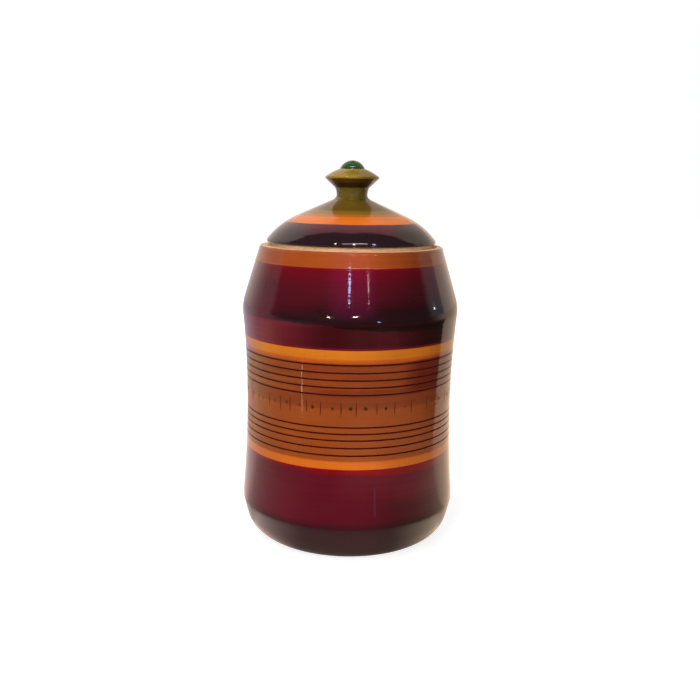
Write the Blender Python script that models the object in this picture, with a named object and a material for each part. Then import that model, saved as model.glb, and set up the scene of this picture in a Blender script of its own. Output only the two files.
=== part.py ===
"""Turned wooden storage jar with a lift-off lid, lacquered on the lathe in bands of colour.

Units are metres, +Z is up, and the origin is the middle of the foot's underside. Every piece is turned, so
each one is a closed half outline of (radius, height) points, spun about the Z axis.
"""
import math

import bmesh
import bpy

MM = 0.001

# Roundness of the spun pieces
BODY_SIDES = 48
KNOB_SIDES = 32
BEAD_SIDES = 24
SHARP_EDGE_ANGLE = 25.0
MERGE_DISTANCE = 0.001 * MM

# Gap between pieces that touch, and the looser fit of the lid's plug in the mouth
GAP = 0.3 * MM
PLUG_CLEARANCE = 0.6 * MM

# Jar, outside
FOOT_FLAT_R = 37.5 * MM
FOOT_ARC_R = 15.0 * MM
FOOT_ARC_END = -14.0
FOOT_RECESS_R = 26.0 * MM
FOOT_RECESS_DEPTH = 1.6 * MM
COVE_R, COVE_Z = 52.75 * MM, 14.1 * MM
CREASE_R, CREASE_Z = 53.9 * MM, 17.8 * MM
SKIRT_R, SKIRT_Z = 54.0 * MM, 20.2 * MM
WAIST_R, WAIST_Z = 51.78 * MM, 72.0 * MM
LOWER_WAIST_ARC = 560.0 * MM
UPPER_WAIST_ARC = 435.0 * MM
WAIST_TOP_Z = 114.0 * MM
WAIST_HEIGHTS = [z * MM for z in (26.0, 33.0, 40.0, 62.0, 83.0, 92.0)] + [WAIST_Z, WAIST_TOP_Z]
SHOULDER_ARC_R = 20.0 * MM
SHOULDER_LEAN = 16.9
RIM_Z = 147.4 * MM
RIM_ROUND = 0.9 * MM

# Jar, neck and hollow
NECK_R = 39.5 * MM
NECK_TOP_Z = 148.7 * MM
MOUTH_R = 34.5 * MM
EDGE_BREAK = 0.5 * MM
NECK_BORE_Z = 139.0 * MM
HOLLOW_R = 44.0 * MM
HOLLOW_TOP_Z = 113.0 * MM
HOLLOW_SHOULDER_ARC_R = 20.0 * MM
HOLLOW_SHOULDER_LEAN = 20.0
HOLLOW_CORNER_R = 11.0 * MM
FLOOR_Z = 12.0 * MM

# Lid
LID_UNDER_Z = NECK_TOP_Z + GAP
LID_R = 41.95 * MM
LID_LIP_ARC_R = 0.8 * MM
CONE_SLOPE = 23.8
CONE_END_R = 27.0 * MM
DOME_ARC_R = 38.0 * MM
DOME_START = 37.6
SEAT_R, SEAT_Z = 9.4 * MM, 169.75 * MM
PLUG_R = MOUTH_R - PLUG_CLEARANCE
PLUG_DEPTH = 8.5 * MM
PLUG_BEVEL = 1.2 * MM
DISH_R = 26.0 * MM
DISH_DEPTH = 3.0 * MM
TENON_HOLE_R = 4.0 * MM
TENON_HOLE_DEPTH = 8.5 * MM

# Knob, turned as a spool with a broad cap
STEM_R, STEM_Z = 7.6 * MM, 172.2 * MM
FLARE_ARC_R = 2.3 * MM
STEM_COVE_ARC_R = 7.5 * MM
STEM_COVE_END = 27.0
CAP_R, CAP_Z = 13.3 * MM, 180.5 * MM
CAP_EDGE_ARC_R = 0.8 * MM
CAP_UNDERSIDE_LEAN = 42.0
CAP_DOME_ARC_R = 28.0 * MM
CAP_DOME_START, CAP_DOME_END = 54.0, 69.0
BEAD_HOLE_R = 3.3 * MM
BEAD_HOLE_DEPTH = 6.3 * MM

# Domed bead on top of the knob
BEAD_DOME_R = 6.63 * MM
BEAD_TOP_Z = 188.8 * MM

# Colour bands: each one runs from the last height up to its own
JAR_BANDS = (
    ("maroon", 47.7 * MM),
    ("orange", 51.8 * MM),
    ("brown", 99.8 * MM),
    ("orange", 104.0 * MM),
    ("maroon", 140.2 * MM),
    ("tan", RIM_Z - RIM_ROUND),
)
LID_BANDS = (
    ("bare_wood", LID_UNDER_Z),
    ("plum", 159.05 * MM),
    ("orange", 162.4 * MM),
    ("olive", SEAT_Z),
)

COLOURS = {
    "bare_wood": ((0.68, 0.43, 0.23), 0.6),
    "maroon": ((0.16, 0.010, 0.018), 0.12),
    "orange": ((0.72, 0.17, 0.012), 0.12),
    "brown": ((0.24, 0.050, 0.014), 0.15),
    "tan": ((0.42, 0.095, 0.018), 0.15),
    "plum": ((0.045, 0.016, 0.022), 0.1),
    "olive": ((0.14, 0.075, 0.010), 0.15),
    "green": ((0.02, 0.11, 0.03), 0.15),
}


def arc(centre, radius, start, end, steps):
    """Points along an arc in the outline plane; 0 degrees points outward and 90 degrees up."""
    points = []
    for i in range(steps + 1):
        angle = math.radians(start + (end - start) * i / steps)
        points.append((centre[0] + radius * math.cos(angle), centre[1] + radius * math.sin(angle)))
    return points


def waist_radius(z):
    """Radius of the drawn-in middle of the jar at height z."""
    curve = UPPER_WAIST_ARC if z > WAIST_Z else LOWER_WAIST_ARC
    return WAIST_R + (z - WAIST_Z) ** 2 / (2.0 * curve)


def jar_outside():
    """The jar's outer side, from the foot up to the rim."""
    points = [
        (0.0, FOOT_RECESS_DEPTH),
        (FOOT_RECESS_R - EDGE_BREAK, FOOT_RECESS_DEPTH),
        (FOOT_RECESS_R, 0.0),
    ]
    points += arc((FOOT_FLAT_R, FOOT_ARC_R), FOOT_ARC_R, -90.0, FOOT_ARC_END, 6)
    points += [(COVE_R, COVE_Z), (CREASE_R, CREASE_Z), (SKIRT_R, SKIRT_Z)]
    band_edges = [top for _, top in JAR_BANDS if top < WAIST_TOP_Z]
    points += [(waist_radius(z), z) for z in sorted(band_edges + WAIST_HEIGHTS)]

    waist_lean = math.degrees((WAIST_TOP_Z - WAIST_Z) / UPPER_WAIST_ARC)
    shoulder_centre = (
        waist_radius(WAIST_TOP_Z) - SHOULDER_ARC_R * math.cos(math.radians(waist_lean)),
        WAIST_TOP_Z + SHOULDER_ARC_R * math.sin(math.radians(waist_lean)),
    )
    shoulder = arc(shoulder_centre, SHOULDER_ARC_R, -waist_lean, SHOULDER_LEAN, 5)
    points += shoulder[1:]

    slope = math.tan(math.radians(SHOULDER_LEAN))
    cone_start_r, cone_start_z = shoulder[-1]
    tan_band_z = JAR_BANDS[-2][1]
    points.append((cone_start_r - slope * (tan_band_z - cone_start_z), tan_band_z))
    edge_z = RIM_Z - RIM_ROUND
    edge_r = cone_start_r - slope * (edge_z - cone_start_z)
    points += arc((edge_r - RIM_ROUND, edge_z), RIM_ROUND, 0.0, 90.0, 3)
    return points


def jar_inside():
    """The neck, the mouth and the hollow, down to the middle of the floor."""
    points = [
        (NECK_R, RIM_Z),
        (NECK_R, NECK_TOP_Z - EDGE_BREAK),
        (NECK_R - EDGE_BREAK, NECK_TOP_Z),
        (MOUTH_R + EDGE_BREAK, NECK_TOP_Z),
        (MOUTH_R, NECK_TOP_Z - EDGE_BREAK),
        (MOUTH_R, NECK_BORE_Z),
    ]
    shoulder = (HOLLOW_R - HOLLOW_SHOULDER_ARC_R, HOLLOW_TOP_Z)
    points += arc(shoulder, HOLLOW_SHOULDER_ARC_R, HOLLOW_SHOULDER_LEAN, 0.0, 2)
    corner = (HOLLOW_R - HOLLOW_CORNER_R, FLOOR_Z + HOLLOW_CORNER_R)
    points += arc(corner, HOLLOW_CORNER_R, 0.0, -90.0, 4)
    points.append((0.0, FLOOR_Z))
    return points


def lid_outline():
    """The lid: plug and dished underside, rounded edge, dome, and the seat and hole for the knob."""
    plug_z = LID_UNDER_Z - PLUG_DEPTH
    dish_arc_r = (DISH_R**2 + DISH_DEPTH**2) / (2.0 * DISH_DEPTH)
    dish_edge = math.degrees(math.acos(DISH_R / dish_arc_r))
    points = [(0.0, plug_z + DISH_DEPTH)]
    points += arc((0.0, plug_z + DISH_DEPTH - dish_arc_r), dish_arc_r, 90.0, dish_edge, 3)[1:]
    points += [
        (PLUG_R - PLUG_BEVEL, plug_z),
        (PLUG_R, plug_z + PLUG_BEVEL),
        (PLUG_R, LID_UNDER_Z),
    ]
    lip = (LID_R - LID_LIP_ARC_R, LID_UNDER_Z + LID_LIP_ARC_R)
    points += arc(lip, LID_LIP_ARC_R, -90.0, 0.0, 3)
    slope = math.radians(CONE_SLOPE)
    cone_end_z = SEAT_Z - (CONE_END_R - SEAT_R) * math.tan(slope)
    centre = (CONE_END_R - DOME_ARC_R * math.sin(slope), cone_end_z - DOME_ARC_R * math.cos(slope))
    dome = arc(centre, DOME_ARC_R, DOME_START, 90.0 - CONE_SLOPE, 8)
    orange_top = LID_BANDS[2][1]
    cone_at_orange = SEAT_R + (SEAT_Z - orange_top) / math.tan(slope)
    points += dome + [(cone_at_orange, orange_top), (SEAT_R, SEAT_Z)]
    hole_z = SEAT_Z - TENON_HOLE_DEPTH
    points += [(TENON_HOLE_R, SEAT_Z), (TENON_HOLE_R, hole_z), (0.0, hole_z)]
    return points


def cap_dome():
    """The top of the knob's cap, from its rounded edge in to the bead's seat."""
    start = math.radians(CAP_DOME_START)
    reach = CAP_DOME_ARC_R - CAP_EDGE_ARC_R
    centre = (CAP_R - CAP_EDGE_ARC_R - reach * math.cos(start), CAP_Z - reach * math.sin(start))
    return arc(centre, CAP_DOME_ARC_R, CAP_DOME_START, CAP_DOME_END, 3)


def knob_outline():
    """The knob: tenon, flared base, stem, broad cap, and the hole for the bead."""
    base_z = SEAT_Z + GAP
    tenon_r = TENON_HOLE_R - GAP
    tenon_z = SEAT_Z - TENON_HOLE_DEPTH + GAP
    points = [(0.0, tenon_z), (tenon_r, tenon_z), (tenon_r, base_z)]
    flare_start = math.degrees(math.asin((STEM_Z - base_z) / FLARE_ARC_R))
    points += arc((STEM_R + FLARE_ARC_R, STEM_Z), FLARE_ARC_R, 180.0 + flare_start, 180.0, 4)
    stem_cove = (STEM_R + STEM_COVE_ARC_R, STEM_Z)
    points += arc(stem_cove, STEM_COVE_ARC_R, 180.0, 180.0 - STEM_COVE_END, 3)[1:]
    cap_edge = (CAP_R - CAP_EDGE_ARC_R, CAP_Z)
    points += arc(cap_edge, CAP_EDGE_ARC_R, -CAP_UNDERSIDE_LEAN, CAP_DOME_START, 3)
    points += cap_dome()[1:]
    seat_z = points[-1][1]
    hole_z = seat_z - BEAD_HOLE_DEPTH
    points += [(BEAD_HOLE_R, seat_z), (BEAD_HOLE_R, hole_z), (0.0, hole_z)]
    return points


def bead_outline():
    """The bead: a peg under a dome."""
    seat_z = cap_dome()[-1][1]
    base_z = seat_z + GAP
    centre_z = BEAD_TOP_Z - BEAD_DOME_R
    base_angle = math.degrees(math.asin((base_z - centre_z) / BEAD_DOME_R))
    peg_r = BEAD_HOLE_R - GAP
    peg_z = seat_z - BEAD_HOLE_DEPTH + GAP
    points = [(0.0, peg_z), (peg_r, peg_z), (peg_r, base_z)]
    points += arc((0.0, centre_z), BEAD_DOME_R, base_angle, 90.0, 6)[:-1]
    points.append((0.0, BEAD_TOP_Z))
    return points


def finish_material(name):
    """A plain material of the named colour, made once and shared."""
    material = bpy.data.materials.get(name)
    if material is None:
        material = bpy.data.materials.new(name)
        material.use_nodes = True
        colour, roughness = COLOURS[name]
        shader = material.node_tree.nodes["Principled BSDF"]
        shader.inputs["Base Color"].default_value = (*colour, 1.0)
        shader.inputs["Roughness"].default_value = roughness
        shader.inputs["Metallic"].default_value = 0.0
        material.diffuse_color = (*colour, 1.0)
    return material


def turned(name, outline, sides):
    """Spin a half outline about the Z axis into a closed solid."""
    shape = bmesh.new()
    vertices = [shape.verts.new((radius, 0.0, height)) for radius, height in outline]
    edges = [shape.edges.new(pair) for pair in zip(vertices, vertices[1:])]
    bmesh.ops.spin(
        shape,
        geom=vertices + edges,
        axis=(0.0, 0.0, 1.0),
        cent=(0.0, 0.0, 0.0),
        angle=math.tau,
        steps=sides,
    )
    bmesh.ops.remove_doubles(shape, verts=shape.verts, dist=MERGE_DISTANCE)
    bmesh.ops.recalc_face_normals(shape, faces=shape.faces)
    mesh = bpy.data.meshes.new(name)
    shape.to_mesh(mesh)
    shape.free()
    mesh.shade_smooth()
    mesh.set_sharp_from_angle(angle=math.radians(SHARP_EDGE_ANGLE))
    piece = bpy.data.objects.new(name, mesh)
    bpy.context.scene.collection.objects.link(piece)
    return piece


def paint(piece, colour):
    piece.data.materials.append(finish_material(colour))


def paint_bands(piece, bands, is_outside):
    """Give each outside face the colour of its band, and every other face bare wood."""
    names = ["bare_wood"] + sorted({name for name, _ in bands} - {"bare_wood"})
    for name in names:
        paint(piece, name)
    for face in piece.data.polygons:
        if is_outside(face):
            height = face.center.z
            band = next((name for name, top in bands if height < top), "bare_wood")
            face.material_index = names.index(band)


def faces_outward(face):
    """True on the jar's outer side: not the hollow, the neck, the ledge or the underside."""
    outward = face.center.x * face.normal.x + face.center.y * face.normal.y
    reach = math.hypot(face.center.x, face.center.y)
    return outward > 0.0 and reach > NECK_R and abs(face.normal.z) < 0.99


def faces_up(face):
    """True on the lid's dome, outside the hole for the knob."""
    return face.normal.z > 0.1 and math.hypot(face.center.x, face.center.y) > SEAT_R


for old in list(bpy.data.objects):
    bpy.data.objects.remove(old, do_unlink=True)

jar_body = turned("jar_body", jar_outside() + jar_inside(), BODY_SIDES)
paint_bands(jar_body, JAR_BANDS, faces_outward)

lid = turned("lid", lid_outline(), BODY_SIDES)
paint_bands(lid, LID_BANDS, faces_up)

lid_knob = turned("lid_knob", knob_outline(), KNOB_SIDES)
paint(lid_knob, "olive")

knob_bead = turned("knob_bead", bead_outline(), BEAD_SIDES)
paint(knob_bead, "green")

# The knob is glued in the lid and the bead in the knob, so they lift as one
lid_knob.parent = lid
knob_bead.parent = lid_knob
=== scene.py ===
"""Looks of the turned, lacquered wooden jar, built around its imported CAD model.

Lengths named with MM are written in millimetres and turned into metres. The jar stands on z = 0 with its
turning axis on Z, and the photograph looks along +Y, a little down.
"""
import math
import random

import bmesh
import bpy
import numpy as np
from mathutils import Matrix, Vector


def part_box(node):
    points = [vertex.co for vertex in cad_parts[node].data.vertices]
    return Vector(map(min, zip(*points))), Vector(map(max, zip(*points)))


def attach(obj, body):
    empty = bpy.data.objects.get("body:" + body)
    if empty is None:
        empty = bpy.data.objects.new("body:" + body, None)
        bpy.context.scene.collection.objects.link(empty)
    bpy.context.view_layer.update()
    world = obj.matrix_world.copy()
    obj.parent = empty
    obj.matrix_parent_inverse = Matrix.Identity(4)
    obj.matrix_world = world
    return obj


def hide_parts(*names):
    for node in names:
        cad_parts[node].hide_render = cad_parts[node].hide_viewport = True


MM = 0.001

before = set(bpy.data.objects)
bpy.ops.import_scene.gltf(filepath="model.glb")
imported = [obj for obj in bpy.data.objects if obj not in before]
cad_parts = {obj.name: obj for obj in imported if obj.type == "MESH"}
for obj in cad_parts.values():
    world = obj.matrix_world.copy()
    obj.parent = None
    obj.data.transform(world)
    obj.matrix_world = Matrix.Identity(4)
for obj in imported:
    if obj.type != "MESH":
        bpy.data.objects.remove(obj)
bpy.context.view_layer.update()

# Roundness of the turned pieces
JAR_SIDES = 192
LID_SIDES = 192
KNOB_SIDES = 128
BEAD_SIDES = 96
SHARP_EDGE = math.radians(12.0)

# Heights and radii that the CAD model gives
JAR_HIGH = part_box("jar_body")[1]
LID_LOW, LID_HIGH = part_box("lid")
KNOB_LOW, KNOB_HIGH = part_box("lid_knob")
BEAD_LOW, BEAD_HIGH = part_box("knob_bead")

# Jar, outside
FOOT_FLAT_R = 37.5 * MM
FOOT_ARC_R = 15.0 * MM
FOOT_ARC_END = -14.0
FOOT_RECESS_R = 26.0 * MM
FOOT_RECESS_DEPTH = 1.6 * MM
TURNING_MARKS_R = (3.0 * MM, 9.0 * MM, 15.5 * MM, 21.0 * MM)
TURNING_MARK_HALF_WIDTH = 0.5 * MM
TURNING_MARK_DEPTH = 0.15 * MM
COVE_R, COVE_Z = 52.75 * MM, 14.1 * MM
CREASE_R, CREASE_Z = 53.68 * MM, 17.8 * MM
SKIRT_R, SKIRT_Z = JAR_HIGH.x, 20.2 * MM
# How far below SKIRT_Z and how far in from SKIRT_R its soft lower edge runs, in millimetres
SKIRT_ROUND = ((1.8, 0.19), (1.2, 0.093), (0.6, 0.03))
WAIST_R, WAIST_Z = 51.78 * MM, 72.0 * MM
LOWER_WAIST_ARC = 560.0 * MM
UPPER_WAIST_ARC = 435.0 * MM
WAIST_TOP_Z = 114.0 * MM
SHOULDER_ARC_R = 20.0 * MM
SHOULDER_LEAN = 16.9
RIM_Z = 147.4 * MM
RIM_ROUND = 0.9 * MM

# Jar, neck and hollow
NECK_R = 39.5 * MM
NECK_TOP_Z = JAR_HIGH.z
NECK_FILLET = 0.3 * MM
MOUTH_R = 34.5 * MM
EDGE_BREAK = 0.5 * MM
NECK_BORE_Z = 139.0 * MM
HOLLOW_R = 44.0 * MM
HOLLOW_TOP_Z = 113.0 * MM
HOLLOW_SHOULDER_ARC_R = 20.0 * MM
HOLLOW_SHOULDER_LEAN = 20.0
HOLLOW_CORNER_R = 11.0 * MM
FLOOR_Z = 12.0 * MM

# Lid
LID_UNDER_Z = 149.0 * MM
LID_R = LID_HIGH.x
LID_LIP_ARC_R = 0.8 * MM
CONE_SLOPE = math.radians(23.8)
CONE_END_R = 27.0 * MM
DOME_ARC_R = 38.0 * MM
DOME_START = 37.6
SEAT_R, SEAT_Z = 9.4 * MM, LID_HIGH.z
PLUG_R = 33.9 * MM
PLUG_Z = LID_LOW.z
PLUG_BEVEL = 1.2 * MM
DISH_R = 26.0 * MM
DISH_DEPTH = 3.0 * MM
TENON_HOLE_R = 4.0 * MM
TENON_HOLE_Z = 161.25 * MM

# Knob and bead, whose pegs are glued in
GLUE_GAP = 0.3 * MM
KNOB_TENON_R = TENON_HOLE_R - GLUE_GAP
KNOB_BASE_Z = 169.8 * MM
STEM_R, STEM_Z = 7.6 * MM, 172.2 * MM
FLARE_ARC_R = 2.3 * MM
FLARE_LOW_Z = 170.05 * MM
FLARE_EDGE = 0.12 * MM
STEM_COVE_ARC_R = 7.5 * MM
STEM_COVE_END = 27.0
CAP_R, CAP_Z = KNOB_HIGH.x, 180.5 * MM
CAP_EDGE_ARC_R = 0.8 * MM
CAP_UNDERSIDE_LEAN = 42.0
CAP_DOME_ARC_R = 28.0 * MM
CAP_DOME_START, CAP_DOME_END = 54.0, 69.0
BEAD_HOLE_R = 3.3 * MM
BEAD_PEG_R = BEAD_HOLE_R - GLUE_GAP
BEAD_HOLE_Z = 178.33 * MM
BEAD_DOME_R = 6.63 * MM
BEAD_TOP_Z = BEAD_HIGH.z
BEAD_EDGE = 0.05 * MM
BEAD_DOME_LIFT = 0.3 * MM

# Scored lines round the brown band, five above the dots and five below
UPPER_LINES_Z = [z * MM for z in (96.95, 93.32, 89.86, 86.45, 83.0)]
LOWER_LINES_Z = [z * MM for z in (67.7, 64.6, 61.5, 57.92, 54.33)]
LINE_WIDTH = 0.74 * MM
LINE_DEPTH = 0.07 * MM

# Fine raised edges that catch the light, under and above the tan band
TAN_EDGE_Z = 140.25 * MM
RIM_EDGE_Z = 146.1 * MM
FINE_BEAD_HALF_HEIGHT = 0.28 * MM
FINE_BEAD_PROUD = 0.10 * MM
FINE_BEAD_RUN_OUT = 1.3 * FINE_BEAD_HALF_HEIGHT
FINE_BEAD_STEPS = 24

# Row of painted dots and ticks in the middle of the brown band. Angles are in degrees from the front.
MARK_DRIFT = 0.4 * MM
DOT_Z = 76.9 * MM
DOT_R = 0.82 * MM
DOT_THICKNESS = 0.05 * MM
DOT_ROOT = 0.05 * MM
DOT_RINGS, DOT_SIDES = 3, 12
DOT_TOP_SHARE = 0.25
DOT_WOBBLE = 0.14
DOT_SIZES = (0.8, 1.12)
SMALL_DOTS_FROM, SMALL_DOTS_TO, SMALL_DOT_SIZE = 25.0, 45.0, 0.82
SEEN_DOT_ANGLES = (-52.5, -42.5, -33.9, -25.9, -18.7, -8.2, 1.1, 8.7, 19.4, 30.1, 36.4)
DOT_STEP, DOT_JITTER, DOT_SEED = 10.4, 1.2, 11
TICK_Z = 76.4 * MM
TICK_HEIGHT = 6.6 * MM
TICK_WIDTH = 0.58 * MM
TICK_STEPS = 8
TICK_BLUNT = 0.04
TICK_END_WIDTH = 0.45
TICK_LEAN = 0.25
TICK_WOBBLE = 0.15
TICK_LENGTHS = (0.8, 1.1)
# Points across a tick: the share of its half width, and how far the point stands out
TICK_SECTION = ((-1.0, -0.02 * MM), (-0.6, 0.03 * MM), (0.6, 0.03 * MM), (1.0, -0.02 * MM))
SEEN_TICK_ANGLES = (-46.6, -38.0, -31.7, -21.9, -14.4, -3.8, 3.9, 14.6, 24.4, 34.5)
TICK_STEP, TICK_JITTER, TICK_SEED = 9.7, 1.6, 23

# Linear colours, as they show in plain light
# Painted shade: the maroon made darker towards the foot, whose underside gets less light
FOOT_SHADE = (0.045, 0.009, 0.014)
MAROON = (0.124, 0.0065, 0.0165)
MAROON_STRIP = (0.18, 0.012, 0.024)
MAROON_UPPER = (0.080, 0.005, 0.0105)
MAROON_MID = (0.130, 0.0035, 0.010)
MAROON_BRIGHT = (0.19, 0.003, 0.009)
MAROON_SHADE = (0.018, 0.004, 0.005)
# Painted reflection: a grey haze on the maroon under the shoulder, right of the middle
REFLECTION_HAZE = (0.075, 0.030, 0.038)
RED_EDGE = (0.25, 0.003, 0.008)
ORANGE = (0.69, 0.197, 0.013)
ORANGE_LOW = (0.72, 0.163, 0.014)
ORANGE_DEEP = (0.56, 0.105, 0.012)
ORANGE_LID = (0.74, 0.165, 0.012)
ORANGE_GOLD = (0.45, 0.14, 0.013)
BROWN = (0.35, 0.072, 0.014)
BROWN_MID = (0.26, 0.051, 0.014)
BROWN_HIGH = (0.295, 0.056, 0.013)
BROWN_RED = (0.165, 0.020, 0.010)
# Painted light and shade: the upper brown band lighter on the left and darker on the right
BROWN_LIT = (0.30, 0.072, 0.016)
BROWN_SHADED = (0.155, 0.014, 0.007)
TAN = (0.345, 0.066, 0.011)
PLUM = (0.018, 0.009, 0.011)
PLUM_LIGHT = (0.056, 0.018, 0.025)
OLIVE = (0.125, 0.072, 0.008)
OLIVE_STEM = (0.125, 0.088, 0.009)
# Painted shade on the underside of the knob's cap, lower down
OLIVE_SHADE = (0.030, 0.014, 0.005)
OLIVE_GOLD = (0.25, 0.12, 0.015)
# Painted shade on the underside of the knob's cap, next to its edge
CAP_UNDERSIDE_SHADE = (0.080, 0.029, 0.009)
CAP_GOLD = (0.26, 0.165, 0.012)
GREEN = (0.016, 0.075, 0.018)
LINE_DARK = (0.058, 0.005, 0.002)
DOT_DARK = (0.062, 0.027, 0.007)
TICK_BROWN = (0.10, 0.019, 0.006)
WOOD_PALE = (0.83, 0.60, 0.37)
WOOD_DARK = (0.68, 0.43, 0.22)

# Surfaces
GLOSS_IOR = 1.5
GLOSS_ROUGHNESS = 0.045
SMUDGE_ROUGHNESS = 0.09
PAINT_IOR = 1.12
LACQUER_RELIEF = 0.03 * MM
WOOD_RELIEF = 0.015 * MM
PITH_X, PITH_Y = 21.0 * MM, 34.0 * MM
GROWTH_RING = 3.1 * MM
GROWTH_RING_BEND = 5.0 * MM

# Camera: where the photograph was taken from
CAMERA_PLACE = (0.0, -443.38 * MM, 179.5 * MM)
CAMERA_PITCH = 0.1901
CAMERA_YAW = 0.0006
CAMERA_ROLL = 0.0167
SENSOR_WIDTH = 36.0
FOCAL_PIXELS = 885.48
PHOTO_WIDTH = 700.0
CLIP_START, CLIP_END = 10.0 * MM, 20.0


def arc(centre, radius, start, end, step=4.0):
    """Points along an arc in the outline plane, with about one point each step degrees."""
    steps = max(2, round(abs(end - start) / step))
    points = []
    for i in range(steps + 1):
        angle = math.radians(start + (end - start) * i / steps)
        points.append((centre[0] + radius * math.cos(angle), centre[1] + radius * math.sin(angle)))
    return points


def waist_radius(z):
    """Radius of the drawn-in middle of the jar at height z."""
    curve = UPPER_WAIST_ARC if z > WAIST_Z else LOWER_WAIST_ARC
    return WAIST_R + (z - WAIST_Z) ** 2 / (2.0 * curve)


def line_points(z):
    """A scored line round the jar: a shallow rounded groove."""
    half = 0.5 * LINE_WIDTH
    shape = ((-1.5, 0.0), (-1.0, 0.0), (-0.7, 1.0), (0.7, 1.0), (1.0, 0.0), (1.5, 0.0))
    return [(waist_radius(z + s * half) - d * LINE_DEPTH, z + s * half) for s, d in shape]


def fine_bead(radius_at, z):
    """A fine raised ring on the side whose radius at a height is radius_at(height)."""
    below, above = z - FINE_BEAD_RUN_OUT, z + FINE_BEAD_RUN_OUT
    points = [(radius_at(below), below)]
    for i in range(FINE_BEAD_STEPS + 1):
        share = 2.0 * i / FINE_BEAD_STEPS - 1.0
        level = z + share * FINE_BEAD_HALF_HEIGHT
        proud = (0.5 + 0.5 * math.cos(math.pi * share)) * FINE_BEAD_PROUD
        points.append((radius_at(level) + proud, level))
    points.append((radius_at(above), above))
    return points


def side_rows(radius_at, start, stop, step):
    """Points up a side from start to just below stop, one each step, all in millimetres."""
    return [(radius_at(z), z) for z in np.arange(start, stop, step) * MM]


def jar_outline():
    """The jar: underside, foot, skirt, waist, shoulder, rim, neck, mouth and hollow."""
    points = [(0.0, FOOT_RECESS_DEPTH)]
    for r in TURNING_MARKS_R:
        points += [
            (r - TURNING_MARK_HALF_WIDTH, FOOT_RECESS_DEPTH),
            (r, FOOT_RECESS_DEPTH + TURNING_MARK_DEPTH),
            (r + TURNING_MARK_HALF_WIDTH, FOOT_RECESS_DEPTH),
        ]
    points += [(FOOT_RECESS_R - EDGE_BREAK, FOOT_RECESS_DEPTH), (FOOT_RECESS_R, 0.0)]
    points += arc((FOOT_FLAT_R, FOOT_ARC_R), FOOT_ARC_R, -90.0, FOOT_ARC_END)
    points += [(COVE_R, COVE_Z)]
    points += lean_between(points[-1], (CREASE_R, CREASE_Z), 3) + [(CREASE_R, CREASE_Z)]
    points += [(SKIRT_R - inward * MM, SKIRT_Z - below * MM) for below, inward in SKIRT_ROUND]
    points += [(SKIRT_R, SKIRT_Z)]

    points += side_rows(waist_radius, 24.0, 54.0, 2.0)
    for z in sorted(LOWER_LINES_Z):
        points += line_points(z)
    points += side_rows(waist_radius, 69.5, 82.5, 1.6)
    for z in sorted(UPPER_LINES_Z):
        points += line_points(z)
    points += side_rows(waist_radius, 98.5, 114.0, 1.7)

    waist_lean = (WAIST_TOP_Z - WAIST_Z) / UPPER_WAIST_ARC
    centre = (
        waist_radius(WAIST_TOP_Z) - SHOULDER_ARC_R * math.cos(waist_lean),
        WAIST_TOP_Z + SHOULDER_ARC_R * math.sin(waist_lean),
    )
    shoulder = arc(centre, SHOULDER_ARC_R, -math.degrees(waist_lean), SHOULDER_LEAN, 1.6)
    points += shoulder
    slope = math.tan(math.radians(SHOULDER_LEAN))
    cone_r, cone_z = shoulder[-1]

    def cone_radius(z):
        return cone_r - slope * (z - cone_z)

    points += side_rows(cone_radius, 124.0, 139.5, 2.0)
    points += fine_bead(cone_radius, TAN_EDGE_Z)
    points += side_rows(cone_radius, 142.0, 146.0, 2.0)
    points += fine_bead(cone_radius, RIM_EDGE_Z)
    edge_z = RIM_Z - RIM_ROUND
    points += arc((cone_radius(edge_z) - RIM_ROUND, edge_z), RIM_ROUND, SHOULDER_LEAN, 90.0, 9.0)

    points += [
        (NECK_R + NECK_FILLET, RIM_Z),
        (NECK_R, RIM_Z + NECK_FILLET),
        (NECK_R, NECK_TOP_Z - EDGE_BREAK),
        (NECK_R - EDGE_BREAK, NECK_TOP_Z),
        (MOUTH_R + EDGE_BREAK, NECK_TOP_Z),
        (MOUTH_R, NECK_TOP_Z - EDGE_BREAK),
        (MOUTH_R, NECK_BORE_Z),
    ]
    centre = (HOLLOW_R - HOLLOW_SHOULDER_ARC_R, HOLLOW_TOP_Z)
    points += arc(centre, HOLLOW_SHOULDER_ARC_R, HOLLOW_SHOULDER_LEAN, 0.0)
    points += [(HOLLOW_R, z) for z in np.arange(108.0, 26.0, -6.0) * MM]
    centre = (HOLLOW_R - HOLLOW_CORNER_R, FLOOR_Z + HOLLOW_CORNER_R)
    points += arc(centre, HOLLOW_CORNER_R, 0.0, -90.0, 6.0)
    points += [(r, FLOOR_Z) for r in np.arange(28.0, 0.0, -7.0) * MM]
    points.append((0.0, FLOOR_Z))
    return points


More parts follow.
